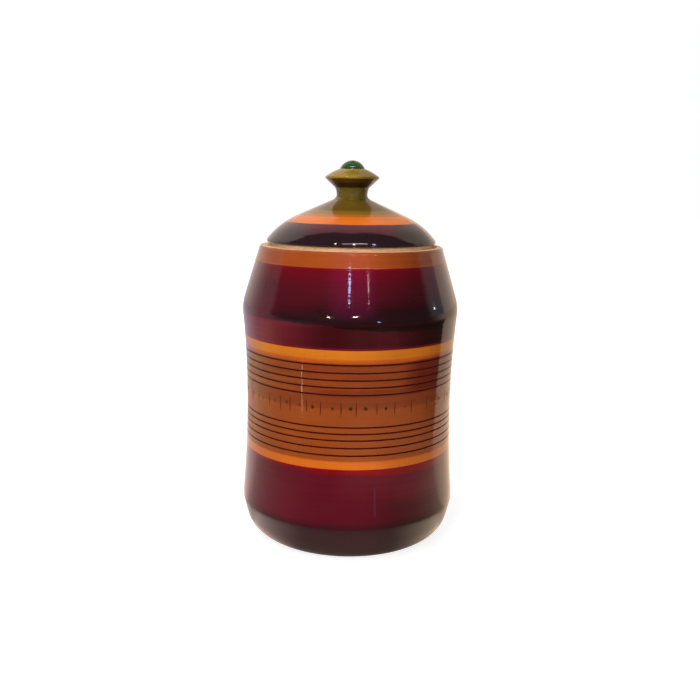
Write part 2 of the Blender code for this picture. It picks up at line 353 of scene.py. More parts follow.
def lid_outline():
    """The lid: dished underside, plug, rounded edge, dome, cone, and the seat and hole for the knob."""
    dish_arc_r = (DISH_R**2 + DISH_DEPTH**2) / (2.0 * DISH_DEPTH)
    dish_edge = math.degrees(math.acos(DISH_R / dish_arc_r))
    dish_top = PLUG_Z + DISH_DEPTH
    points = arc((0.0, dish_top - dish_arc_r), dish_arc_r, 90.0, dish_edge, 2.0)
    points[0] = (0.0, dish_top)
    points += [
        (PLUG_R - PLUG_BEVEL, PLUG_Z),
        (PLUG_R, PLUG_Z + PLUG_BEVEL),
        (PLUG_R, LID_UNDER_Z),
    ]
    lip = (LID_R - LID_LIP_ARC_R, LID_UNDER_Z + LID_LIP_ARC_R)
    points += arc(lip, LID_LIP_ARC_R, -90.0, DOME_START, 9.0)
    cone_end_z = SEAT_Z - (CONE_END_R - SEAT_R) * math.tan(CONE_SLOPE)
    centre = (
        CONE_END_R - DOME_ARC_R * math.sin(CONE_SLOPE),
        cone_end_z - DOME_ARC_R * math.cos(CONE_SLOPE),
    )
    points += arc(centre, DOME_ARC_R, DOME_START + 1.0, 90.0 - math.degrees(CONE_SLOPE), 1.2)
    cone_radii = np.arange(25.5, SEAT_R / MM, -2.0) * MM
    points += [(r, SEAT_Z - (r - SEAT_R) * math.tan(CONE_SLOPE)) for r in cone_radii]
    points += [
        (SEAT_R, SEAT_Z),
        (TENON_HOLE_R, SEAT_Z),
        (TENON_HOLE_R, TENON_HOLE_Z),
        (0.0, TENON_HOLE_Z),
    ]
    return points


def cap_dome():
    """The top of the knob's cap, from its rounded edge in to the bead's seat."""
    start = math.radians(CAP_DOME_START)
    reach = CAP_DOME_ARC_R - CAP_EDGE_ARC_R
    centre = (CAP_R - CAP_EDGE_ARC_R - reach * math.cos(start), CAP_Z - reach * math.sin(start))
    return arc(centre, CAP_DOME_ARC_R, CAP_DOME_START, CAP_DOME_END, 1.5)


def lean_between(start, end, pieces):
    """Points strictly between two outline points."""
    return [
        (start[0] + (end[0] - start[0]) * i / pieces, start[1] + (end[1] - start[1]) * i / pieces)
        for i in range(1, pieces)
    ]


def knob_outline():
    """The knob: tenon, flared base, stem, broad cap, and the hole for the bead."""
    tenon_z = KNOB_LOW.z
    points = [(0.0, tenon_z), (KNOB_TENON_R, tenon_z), (KNOB_TENON_R, KNOB_BASE_Z)]
    flare_start = math.degrees(math.asin((STEM_Z - FLARE_LOW_Z) / FLARE_ARC_R))
    flare = arc((STEM_R + FLARE_ARC_R, STEM_Z), FLARE_ARC_R, 180.0 + flare_start, 180.0, 6.0)
    points += [(flare[0][0] + FLARE_EDGE, KNOB_BASE_Z)] + flare
    cove = (STEM_R + STEM_COVE_ARC_R, STEM_Z)
    points += arc(cove, STEM_COVE_ARC_R, 180.0, 180.0 - STEM_COVE_END, 3.0)[1:]
    cap_edge = (CAP_R - CAP_EDGE_ARC_R, CAP_Z)
    edge = arc(cap_edge, CAP_EDGE_ARC_R, -CAP_UNDERSIDE_LEAN, CAP_DOME_START, 8.0)
    points += lean_between(points[-1], edge[0], 4)
    points += edge
    points += cap_dome()[1:]
    seat_z = points[-1][1]
    points += [(BEAD_HOLE_R, seat_z), (BEAD_HOLE_R, BEAD_HOLE_Z), (0.0, BEAD_HOLE_Z)]
    return points


def bead_outline():
    """The bead: a peg under a dome that sits close on the cap."""
    seat_z = cap_dome()[-1][1]
    base_z = seat_z + BEAD_EDGE
    centre_z = BEAD_TOP_Z - BEAD_DOME_R
    base_angle = math.degrees(math.asin((seat_z + BEAD_DOME_LIFT - centre_z) / BEAD_DOME_R))
    dome = arc((0.0, centre_z), BEAD_DOME_R, base_angle, 90.0, 4.0)
    points = [(0.0, BEAD_LOW.z), (BEAD_PEG_R, BEAD_LOW.z)]
    points += [(BEAD_PEG_R, base_z), (dome[0][0] + BEAD_EDGE, base_z)]
    points += dome[:-1]
    points.append((0.0, BEAD_TOP_Z))
    return points


def unwrap(mesh, line, sides):
    """Texture coordinates for a turned mesh: u goes round the axis and v goes along the outline."""
    steps = [math.dist(first, second) for first, second in zip(line, line[1:])]
    along = [sum(steps[:i]) / sum(steps) for i in range(len(line))]
    wrap = mesh.uv_layers.new(name="OFBake")
    last = len(mesh.vertices) - 1
    for face in mesh.polygons:
        columns = [(v - 1) % sides for v in face.vertices if 0 < v < last]
        seam = max(columns) - min(columns) > 1
        if seam:
            columns = [column or sides for column in columns]
        for loop, v in zip(face.loop_indices, face.vertices):
            if v in (0, last):
                column, row = sum(columns) / len(columns), 0 if v == 0 else len(line) - 1
            else:
                column, row = (v - 1) % sides, 1 + (v - 1) // sides
                column = sides if seam and column == 0 else column
            wrap.data[loop].uv = (column / sides, along[row])


def turned(name, outline, sides):
    """Spin a closed half outline of (radius, height) about Z into a mesh with one pole at each end."""
    off_axis = [point for point in outline if point[0] > 0.0]
    rows = len(off_axis)
    vertices = [(0.0, 0.0, outline[0][1])]
    for radius, height in off_axis:
        for k in range(sides):
            angle = math.tau * k / sides
            vertices.append((radius * math.cos(angle), radius * math.sin(angle), height))
    vertices.append((0.0, 0.0, outline[-1][1]))
    last = len(vertices) - 1

    def at(row, k):
        return 1 + row * sides + k % sides

    faces = [(0, at(0, k + 1), at(0, k)) for k in range(sides)]
    for row in range(rows - 1):
        for k in range(sides):
            faces.append((at(row, k), at(row, k + 1), at(row + 1, k + 1), at(row + 1, k)))
    faces += [(last, at(rows - 1, k), at(rows - 1, k + 1)) for k in range(sides)]
    mesh = bpy.data.meshes.new(name)
    mesh.from_pydata(vertices, [], faces)
    mesh.validate()
    mesh.shade_smooth()
    mesh.set_sharp_from_angle(angle=SHARP_EDGE)
    unwrap(mesh, [outline[0]] + off_axis + [outline[-1]], sides)
    piece = bpy.data.objects.new(name, mesh)
    bpy.context.scene.collection.objects.link(piece)
    return piece


class Nodes:
    """A short way to write the shader nodes of a material or of the world."""

    def __init__(self, owner):
        owner.use_nodes = True
        self.tree = owner.node_tree
        self.shader = self.tree.nodes.get("Principled BSDF")

    def add(self, kind, inputs=(), **settings):
        node = self.tree.nodes.new(kind)
        for key, value in settings.items():
            setattr(node, key, value)
        for key, value in dict(inputs).items():
            self.put(node.inputs[key], value)
        return node

    def put(self, socket, value):
        """Link another socket to this one, or set its constant."""
        if isinstance(value, bpy.types.NodeSocket):
            self.tree.links.new(value, socket)
        elif isinstance(value, tuple) and len(value) == 3 and socket.type == "RGBA":
            socket.default_value = (*value, 1.0)
        else:
            socket.default_value = value

    def shade(self, inputs):
        """Set inputs of the material's own shader."""
        for key, value in inputs.items():
            self.put(self.shader.inputs[key], value)

    def maths(self, operation, first, second=0.0, clamp=False):
        node = self.add("ShaderNodeMath", operation=operation, use_clamp=clamp)
        self.put(node.inputs[0], first)
        self.put(node.inputs[1], second)
        return node.outputs[0]

    def times(self, first, *others):
        for other in others:
            first = self.maths("MULTIPLY", first, other)
        return first

    def plus(self, first, *others):
        for other in others:
            first = self.maths("ADD", first, other)
        return first

    def minus(self, first, second):
        return self.maths("SUBTRACT", first, second)

    def larger(self, first, second):
        return self.maths("MAXIMUM", first, second)

    def smaller(self, first, second):
        return self.maths("MINIMUM", first, second)

    def blend(self, share, first, second):
        """A number between two others."""
        return self.plus(first, self.times(share, self.minus(second, first)))

    def mix(self, share, first, second, blend="MIX"):
        """A colour between two others."""
        node = self.add("ShaderNodeMix", data_type="RGBA", blend_type=blend)
        self.put(node.inputs[0], share)
        self.put(node.inputs[6], first)
        self.put(node.inputs[7], second)
        return node.outputs[2]

    def scaled(self, colour, factor):
        """A colour made brighter or darker by a factor."""
        grey = self.add("ShaderNodeCombineColor", {0: factor, 1: factor, 2: factor}).outputs[0]
        return self.mix(1.0, colour, grey, "MULTIPLY")

    def ramp(self, value, low, high, to_low=0.0, to_high=1.0, smooth=True):
        """value from low..high to to_low..to_high, held at the ends."""
        node = self.add(
            "ShaderNodeMapRange",
            {"Value": value, "From Min": low, "From Max": high, "To Min": to_low, "To Max": to_high},
            interpolation_type="SMOOTHSTEP" if smooth else "LINEAR",
        )
        return node.outputs[0]

    def fade(self, value, low, high, to_low=0.0, to_high=1.0):
        """The same as ramp, with low and high in millimetres."""
        return self.ramp(value, low * MM, high * MM, to_low, to_high)

    def span(self, value, low, high, softness):
        """1 between two places in millimetres, 0 outside, with soft ends."""
        rise = self.fade(value, low - softness, low + softness)
        return self.times(rise, self.fade(value, high - softness, high + softness, 1.0, 0.0))

    def coordinate(self, axis):
        """The object's own X (right, as the photograph sees it), Y (away from it) or Z (height)."""
        place = self.add("ShaderNodeTexCoord").outputs["Object"]
        return self.add("ShaderNodeSeparateXYZ", {"Vector": place}).outputs[axis]

    def noise(self, fineness, detail=2.0, roughness=0.5):
        """Noise from 0 to 1, whose fineness along X, Y and Z can differ, so that it runs round or up."""
        place = self.add("ShaderNodeTexCoord").outputs["Object"]
        place = self.add("ShaderNodeMapping", {"Vector": place, "Scale": fineness}).outputs[0]
        inputs = {"Vector": place, "Scale": 1.0, "Detail": detail, "Roughness": roughness}
        return self.add("ShaderNodeTexNoise", inputs).outputs["Fac"]

    def wander(self, noise, reach):
        """Noise made into a shift either way, reach from end to end."""
        return self.times(self.minus(noise, 0.5), reach)

    def bump(self, relief, distance):
        inputs = {"Height": relief, "Strength": 1.0, "Distance": distance}
        return self.add("ShaderNodeBump", inputs).outputs[0]

    def length(self, vector):
        return self.add("ShaderNodeVectorMath", {0: vector}, operation="LENGTH").outputs["Value"]

    def towards(self, direction, azimuth, elevation):
        """Cosine of the angle between a direction and a compass bearing."""
        inputs = {0: direction, 1: tuple(compass(azimuth, elevation))}
        return self.add("ShaderNodeVectorMath", inputs, operation="DOT_PRODUCT").outputs["Value"]


def bands_of(nodes, bands, height):
    """Colours that change at given heights."""
    colour = bands[0]
    for edge, softness, after in bands[1:]:
        colour = nodes.mix(nodes.fade(height, edge - softness, edge + softness), colour, after)
    return colour


def dark_ring(nodes, height, across):
    """How far the shoulder's dark ring covers the maroon: uneven below, soft above, thin on the left."""
    ragged = nodes.wander(nodes.noise((60.0, 60.0, 20.0), 3.0, 0.6), 3.0 * MM)
    sag = nodes.fade(across, -30.0, 36.0, 1.6 * MM, -1.8 * MM)
    low = nodes.minus(nodes.plus(height, ragged), sag)
    top = nodes.plus(height, nodes.fade(across, -28.0, -8.0, 3.0 * MM, 0.0))
    return nodes.times(
        nodes.fade(low, 113.2, 114.5),
        nodes.fade(height, 113.5, 117.5, 0.8, 1.0),
        nodes.fade(top, 119.0, 131.0, 1.0, 0.0),
        nodes.fade(across, -41.0, -30.0),
    )


def strip_painted_shade(nodes, height, across):
    """Painted shade on the maroon strip under the dark ring: full tone at the left, darker from the middle
    on.
    """
    place = nodes.plus(across, nodes.wander(nodes.noise((50.0, 50.0, 50.0)), 12.0 * MM))
    loss = nodes.plus(
        nodes.fade(place, -43.0, -10.0, 0.0, 0.70),
        nodes.fade(place, 23.0, 38.0, 0.0, 0.19),
        nodes.times(nodes.span(place, 11.0, 22.0, 3.0), -0.11),
    )
    return nodes.minus(1.0, nodes.times(nodes.span(height, 104.6, 115.2, 0.8), loss))


def shaded_right(nodes, height, across):
    """Tone of the jar above the shoulder and close above the foot, where it is darker on the right."""
    high = nodes.times(nodes.fade(across, 2.0, 36.0, 0.0, 0.34), nodes.fade(height, 115.0, 119.0))
    low = nodes.times(nodes.fade(across, 8.0, 26.0, 0.0, 0.42), nodes.fade(height, 28.0, 36.0, 1.0, 0.0))
    return nodes.minus(1.0, nodes.plus(high, low))


def uneven_lac_and_painted_light(nodes, colour, height, across):
    """Where one lac shows through or lies over another on the jar, with painted light and shade: a painted
    reflection haze under the shoulder, and the upper brown band painted lighter on the left and darker on the
    right.
    """
    sunk = nodes.plus(height, nodes.fade(across, 0.0, 25.0, 0.0, 1.4 * MM))
    low_edge = nodes.times(
        nodes.fade(height, 47.0, 48.0, 1.0, 0.0),
        nodes.fade(sunk, 44.6, 46.0),
        nodes.fade(across, -26.0, -10.0, 0.0, 0.85),
    )
    colour = nodes.mix(low_edge, colour, RED_EDGE)
    streak = nodes.times(nodes.span(height, 81.8, 85.4, 0.5), nodes.fade(across, -20.0, -8.0, 0.0, 0.5))
    colour = nodes.mix(streak, colour, BROWN_RED)
    # painted reflection: a grey haze under the shoulder, right of the middle
    haze = nodes.times(nodes.span(height, 111.3, 115.6, 0.8), nodes.span(across, 9.0, 24.0, 3.0), 0.5)
    colour = nodes.mix(haze, colour, REFLECTION_HAZE)
    colour = nodes.mix(dark_ring(nodes, height, across), colour, MAROON_SHADE)
    # painted light on the left and painted shade on the right of the upper brown band
    below_orange = nodes.span(height, 84.0, 98.0, 0.7)
    pale = nodes.times(nodes.fade(across, -27.0, -19.0, 0.8, 0.0), below_orange)
    colour = nodes.mix(pale, colour, BROWN_LIT)
    dark = nodes.times(nodes.fade(across, 22.0, 34.0, 0.0, 0.9), below_orange)
    colour = nodes.mix(dark, colour, BROWN_SHADED)
    patches = nodes.times(
        nodes.fade(height, 84.0, 87.0),
        nodes.fade(height, 97.5, 99.0, 1.0, 0.0),
        nodes.ramp(nodes.noise((26.0, 26.0, 190.0)), 0.45, 0.70, 0.0, 0.38),
    )
    return nodes.mix(patches, colour, BROWN_RED)


def lacquer(name, bands, uneven_jar=False, ripple=1.0, shaded=None):
    """Gloss lacquer on turned wood: bands of colour, grain, turning streaks, clouds, smudges and ridges.

    ripple is how strong the ridges are.
    shaded is painted shade across the piece: (left place, right place, left tone, right tone), with the
    places in millimetres.
    """
    material = bpy.data.materials.new(name)
    nodes = Nodes(material)
    across = nodes.coordinate("X")
    wobble = nodes.wander(nodes.noise((60.0, 60.0, 8.0), 1.0), 0.25 * MM)
    height = nodes.plus(nodes.coordinate("Z"), wobble)
    colour = bands_of(nodes, bands, height)
    tone = nodes.times(
        nodes.ramp(nodes.noise((900.0, 900.0, 26.0), 2.0, 0.6), 0.3, 0.7, 0.985, 1.012),
        nodes.ramp(nodes.noise((9.0, 9.0, 900.0), 3.0, 0.6), 0.25, 0.75, 1.05, 0.94),
        nodes.ramp(nodes.noise((34.0, 34.0, 34.0)), 0.3, 0.75, 0.92, 1.10),
    )
    # On the jar also painted shade: the maroon strip darker from the middle on, and the jar darker on the
    # right above the shoulder and close above the foot.
    if uneven_jar:
        colour = uneven_lac_and_painted_light(nodes, colour, height, across)
        tone = nodes.times(tone, strip_painted_shade(nodes, height, across), shaded_right(nodes, height, across))
    if shaded:
        tone = nodes.times(tone, nodes.fade(across, *shaded))

    smudge = nodes.noise((60.0, 60.0, 60.0), 3.0, 0.6)
    ridges = nodes.noise((5.0, 5.0, 780.0))
    swell = nodes.noise((14.0, 14.0, 90.0), 1.0)
    peel = nodes.noise((420.0, 420.0, 420.0), 1.0)
    relief = nodes.plus(ridges, swell, nodes.times(peel, 0.12))
    nodes.shade({
        "Base Color": nodes.scaled(colour, tone),
        "Roughness": nodes.ramp(smudge, 0.42, 0.8, GLOSS_ROUGHNESS, GLOSS_ROUGHNESS + SMUDGE_ROUGHNESS),
        "IOR": GLOSS_IOR,
        "Normal": nodes.bump(relief, LACQUER_RELIEF * ripple),
    })
    return material


def plain_paint(name, colour, roughness, worn=0.0):
    """A thin stroke or dab of paint. worn is the share of brown that shows through it at the sides."""
    material = bpy.data.materials.new(name)
    nodes = Nodes(material)
    cloud = nodes.ramp(nodes.noise((900.0, 900.0, 900.0)), 0.35, 0.7)
    colour = nodes.mix(cloud, colour, tuple(0.6 * part for part in colour))
    across = nodes.coordinate("X")
    thin_left = nodes.times(
        nodes.fade(across, -38.0, -31.0, worn, 0.25 * worn),
        nodes.fade(across, -24.0, -14.0, 1.0, 0.0),
    )
    thin = nodes.larger(nodes.fade(across, 18.0, 32.0, 0.0, worn), thin_left)
    nodes.shade({"Base Color": nodes.mix(thin, colour, BROWN), "Roughness": roughness, "IOR": PAINT_IOR})
    return material


def bare_wood(name):
    """Pale turned wood: growth rings about an axis beside the jar's own, pores, and fine tool marks."""
    material = bpy.data.materials.new(name)
    nodes = Nodes(material)
    from_pith_x = nodes.plus(nodes.coordinate("X"), PITH_X)
    from_pith_y = nodes.plus(nodes.coordinate("Y"), PITH_Y)
    square = nodes.plus(nodes.times(from_pith_x, from_pith_x), nodes.times(from_pith_y, from_pith_y))
    bend = nodes.times(nodes.noise((26.0, 26.0, 3.12)), GROWTH_RING_BEND)
    reach = nodes.plus(nodes.maths("SQRT", square), bend)
    rings = nodes.maths("SINE", nodes.times(reach, math.tau / GROWTH_RING))
    grain = nodes.noise((1500.0, 1500.0, 75.0), 3.0, 0.7)
    tools = nodes.noise((8.0, 8.0, 1500.0))
    share = nodes.plus(nodes.ramp(rings, -1.0, 1.0, 0.0, 0.22), nodes.ramp(grain, 0.35, 0.7, 0.0, 0.16))
    colour = nodes.mix(share, WOOD_PALE, WOOD_DARK)
    nodes.shade({
        "Base Color": nodes.mix(nodes.ramp(tools, 0.5, 0.75, 0.0, 0.18), colour, WOOD_DARK),
        "Roughness": nodes.ramp(grain, 0.2, 0.8, 0.5, 0.72),
        "Normal": nodes.bump(nodes.plus(nodes.times(tools, 0.8), grain), WOOD_RELIEF),
    })
    return material


# Bands of colour from the bottom up: the first colour, then (edge, half its softness, next colour),
# with edges and softness in millimetres
SOFT_EDGE = 0.12
JAR_BANDS = (
    # painted shade at the foot, fading into the maroon above it
    FOOT_SHADE,
    (20.5, 3.5, MAROON),
    (46.5, 0.6, RED_EDGE),
    (47.7, SOFT_EDGE, ORANGE_LOW),
    (51.2, 0.4, ORANGE_DEEP),
    (51.8, SOFT_EDGE, BROWN),
    (76.5, 1.0, BROWN_MID),
    (83.0, 0.8, BROWN_HIGH),
    (97.7, 0.25, ORANGE_DEEP),
    (99.6, 0.5, ORANGE),
    (103.84, SOFT_EDGE, RED_EDGE),
    (104.4, 0.4, MAROON_STRIP),
    (115.3, 0.6, MAROON_UPPER),
    (134.5, 4.5, MAROON_MID),
    (139.2, 1.0, MAROON_BRIGHT),
    (140.25, SOFT_EDGE, TAN),
)
LID_BANDS = (
    PLUM,
    (156.5, 2.0, PLUM_LIGHT),
    (159.05, SOFT_EDGE, ORANGE_LID),
    (162.3, 0.25, ORANGE_GOLD),
    (163.4, 0.4, OLIVE_GOLD),
    (164.8, 0.5, OLIVE),
)
KNOB_BANDS = (
    OLIVE_STEM,
    # painted shade on the underside of the cap, darkest lower down
    (175.6, 0.5, OLIVE_SHADE),
    (178.0, 0.4, CAP_UNDERSIDE_SHADE),
    (180.0, 0.25, CAP_GOLD),
)
BEAD_BANDS = (GREEN,)

wood = bare_wood("bare_wood")
jar_gloss = lacquer("jar_gloss", JAR_BANDS, uneven_jar=True)
lid_gloss = lacquer("lid_gloss", LID_BANDS)
# The knob's shaded tone is painted shade, darker on its right.
knob_gloss = lacquer("knob_gloss", KNOB_BANDS, ripple=0.6, shaded=(-4.0, 7.0, 1.1, 0.72))
bead_gloss = lacquer("bead_gloss", BEAD_BANDS, ripple=0.4)
line_paint = plain_paint("scored_line", LINE_DARK, 0.08)
dot_paint = plain_paint("dot_paint", DOT_DARK, 0.3, 0.7)
tick_paint = plain_paint("tick_paint", TICK_BROWN, 0.3)


def finish_faces(piece, finishes, pick):
    """Give each face the finish that pick chooses by the face's place and by how it faces out and up."""
    for finish in finishes:
        piece.data.materials.append(finish)
    for face in piece.data.polygons:
        radius = math.hypot(face.center.x, face.center.y)
        outward = (face.center.x * face.normal.x + face.center.y * face.normal.y) / max(radius, 1e-9)
        face.material_index = pick(radius, face.center.z, outward, face.normal.z)


# Where lacquer ends and bare wood begins
FINISH_MARGIN = 0.1 * MM
RIM_MARGIN = 0.02 * MM
LID_BARE_EDGE = 0.12 * MM
FOOT_TOP_Z = 20.0 * MM
FACES_OUT, FACES_UP = 0.05, 0.5


def jar_finish(radius, height, outward, upward):
    """0 bare wood, 1 lacquer, 2 scored line."""
    # The foot's round underside, and with it the corner of the hollow
    low = radius > FOOT_FLAT_R + FINISH_MARGIN and height < FOOT_TOP_Z
    outside = radius > HOLLOW_R + FINISH_MARGIN and (outward > FACES_OUT or upward > FACES_UP)
    if low or (outside and height < RIM_Z - RIM_MARGIN):
        scored = any(abs(height - z) < 0.5 * LINE_WIDTH for z in UPPER_LINES_Z + LOWER_LINES_Z)
        return 2 if scored else 1
    return 0


def lid_finish(radius, height, *facing):
    """0 bare wood, 1 lacquer."""
    return int(height > LID_UNDER_Z + LID_BARE_EDGE and radius > TENON_HOLE_R + FINISH_MARGIN)


def dress(name, outline, sides, finishes, pick, body, node):
    """Make a turned piece, finish it, and put it in the place of its CAD node."""
    piece = turned(name, outline, sides)
    finish_faces(piece, finishes, pick)
    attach(piece, body)
    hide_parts(node)


dress(
    "jar_body_turned", jar_outline(), JAR_SIDES, [wood, jar_gloss, line_paint], jar_finish,
    "jar", "jar_body",
)
dress("lid_turned", lid_outline(), LID_SIDES, [wood, lid_gloss], lid_finish, "lid", "lid")
dress(
    "lid_knob_turned", knob_outline(), KNOB_SIDES, [knob_gloss], lambda *face: 0,
    "lid", "lid_knob",
)
dress(
    "knob_bead_turned", bead_outline(), BEAD_SIDES, [bead_gloss], lambda *face: 0,
    "lid", "knob_bead",
)


def on_waist(angle, z, proud):
    """A point on the waist: angle in degrees from the front, positive to the right."""
    radius = waist_radius(z) + proud
    turn = math.radians(angle)
    return (radius * math.sin(turn), -radius * math.cos(turn), z)


def join_loops(shape, loops):
    """Faces between each loop of points and the next."""
    for low, high in zip(loops, loops[1:]):
        for corners in zip(low, low[1:] + low[:1], high[1:] + high[:1], high):
            shape.faces.new(corners)


def dab(shape, angle, z, radius, chance):
    """A small rounded drop of paint on the waist, slightly uneven."""
    degrees = math.degrees(radius / waist_radius(z))
    wander = [1.0 + chance.uniform(-DOT_WOBBLE, DOT_WOBBLE) for _ in range(DOT_SIDES)]
    loops = []
    for ring in range(DOT_RINGS + 1):
        slope = 0.5 * math.pi * ring / DOT_RINGS
        share = math.cos(slope) if ring < DOT_RINGS else DOT_TOP_SHARE
        proud = DOT_THICKNESS * math.sin(slope)
        loop = []
        for k in range(DOT_SIDES):
            turn = math.tau * k / DOT_SIDES
            place = on_waist(
                angle + degrees * share * wander[k] * math.cos(turn),
                z + radius * share * wander[k] * math.sin(turn),
                proud,
            )
            loop.append(shape.verts.new(place))
        loops.append(loop)
    base = shape.verts.new(on_waist(angle, z, -DOT_ROOT))
    top = shape.verts.new(on_waist(angle, z, DOT_THICKNESS))
    join_loops(shape, loops)
    for k in range(DOT_SIDES):
        after = (k + 1) % DOT_SIDES
        shape.faces.new((loops[-1][k], loops[-1][after], top))
        shape.faces.new((loops[0][after], loops[0][k], base))


def stroke(shape, angle, z, height, chance):
    """A thin upright stroke of paint that follows the waist."""
    drift = chance.uniform(-TICK_LEAN, TICK_LEAN)
    rows = []
    for i in range(TICK_STEPS + 1):
        share = i / TICK_STEPS
        level = z + (share - 0.5) * height
        swell = math.sin(math.pi * min(max(share, TICK_BLUNT), 1.0 - TICK_BLUNT))
        taper = TICK_END_WIDTH + (1.0 - TICK_END_WIDTH) * swell
        half = 0.5 * TICK_WIDTH * taper * (1.0 + chance.uniform(-TICK_WOBBLE, TICK_WOBBLE))
        spread = math.degrees(half / waist_radius(level))
        middle = angle + drift * (share - 0.5)
        places = [on_waist(middle + aside * spread, level, proud) for aside, proud in TICK_SECTION]
        rows.append([shape.verts.new(place) for place in places])
    join_loops(shape, rows)
    shape.faces.new(rows[0][::-1])
    shape.faces.new(rows[-1])


def all_round(seen, step, jitter, chance):
    """The angles that the photograph shows, then more of them, as uneven, round the rest of the jar."""
    angles = list(seen)
    room = 360.0 - (seen[-1] - seen[0])
    count = round(room / step) - 1
    for i in range(1, count + 1):
        angles.append(seen[-1] + room * i / (count + 1) + chance.uniform(-jitter, jitter))
    return angles


def painted(name, finish, draw):
    """A piece of paint marks on the waist, which rides with the jar."""
    shape = bmesh.new()
    draw(shape)
    bmesh.ops.recalc_face_normals(shape, faces=shape.faces)
    mesh = bpy.data.meshes.new(name)
    shape.to_mesh(mesh)
    shape.free()
    mesh.shade_smooth()
    mesh.materials.append(finish)
    piece = bpy.data.objects.new(name, mesh)
    bpy.context.scene.collection.objects.link(piece)
    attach(piece, "jar")


def draw_dots(shape):
    chance = random.Random(DOT_SEED)
    for angle in all_round(SEEN_DOT_ANGLES, DOT_STEP, DOT_JITTER, chance):
        share = SMALL_DOT_SIZE if SMALL_DOTS_FROM < angle < SMALL_DOTS_TO else 1.0
        size = DOT_R * chance.uniform(*DOT_SIZES) * share
        dab(shape, angle, DOT_Z + chance.uniform(-MARK_DRIFT, MARK_DRIFT), size, chance)


def draw_ticks(shape):
    chance = random.Random(TICK_SEED)
    for angle in all_round(SEEN_TICK_ANGLES, TICK_STEP, TICK_JITTER, chance):
        height = TICK_HEIGHT * chance.uniform(*TICK_LENGTHS)
        stroke(shape, angle, TICK_Z + chance.uniform(-MARK_DRIFT, MARK_DRIFT), height, chance)


painted("painted_dots", dot_paint, draw_dots)
painted("painted_ticks", tick_paint, draw_ticks)


def camera_matrix():
    """The camera's place and turn: it looks along +Y, pitched down, yawed to +X and rolled."""
    ahead = Vector((
        math.sin(CAMERA_YAW) * math.cos(CAMERA_PITCH),
        math.cos(CAMERA_YAW) * math.cos(CAMERA_PITCH),
        -math.sin(CAMERA_PITCH),
    ))
    level = Vector((math.cos(CAMERA_YAW), -math.sin(CAMERA_YAW), 0.0))
    upright = level.cross(ahead)
    right = math.cos(CAMERA_ROLL) * level + math.sin(CAMERA_ROLL) * upright
    up = math.cos(CAMERA_ROLL) * upright - math.sin(CAMERA_ROLL) * level
    turn = Matrix((right, up, -ahead)).transposed()
    return Matrix.Translation(CAMERA_PLACE) @ turn.to_4x4()


def add_camera():
    lens = bpy.data.cameras.new("camera")
    lens.sensor_width = SENSOR_WIDTH
    lens.lens = FOCAL_PIXELS / PHOTO_WIDTH * SENSOR_WIDTH
    lens.clip_start = CLIP_START
    lens.clip_end = CLIP_END
    camera = bpy.data.objects.new("camera", lens)
    bpy.context.scene.collection.objects.link(camera)
    camera.matrix_world = camera_matrix()
    bpy.context.scene.camera = camera


def compass(azimuth, elevation):
    """A unit vector: azimuth 0 is towards the camera's side, positive to the right, in degrees."""
    turn, rise = math.radians(azimuth), math.radians(elevation)
    return Vector((math.sin(turn) * math.cos(rise), -math.cos(turn) * math.cos(rise), math.sin(rise)))


# Soft lamps, which don't show in the gloss, and aim at a point inside the jar: name, azimuth, elevation,
# distance, size, power, colour
LAMPS_AIM = (0.0, 0.0, 95.0 * MM)
SOFT_BOXES = (
    ("key", -14.0, 16.0, 0.36, (0.14, 0.36), 0.95, (1.0, 0.98, 0.96)),
    ("top", -35.0, 65.0, 0.60, (0.30, 0.30), 1.7, (1.0, 0.99, 0.97)),
    ("fill_left", -75.0, 8.0, 0.90, (0.30, 0.50), 0.4, (1.0, 1.0, 1.0)),
    ("fill_right", 68.0, 0.0, 0.90, (0.30, 0.50), 2.2, (1.0, 0.99, 0.98)),
    ("back", 180.0, 6.0, 0.90, (0.20, 0.40), 4.6, (1.0, 0.99, 0.98)),
)

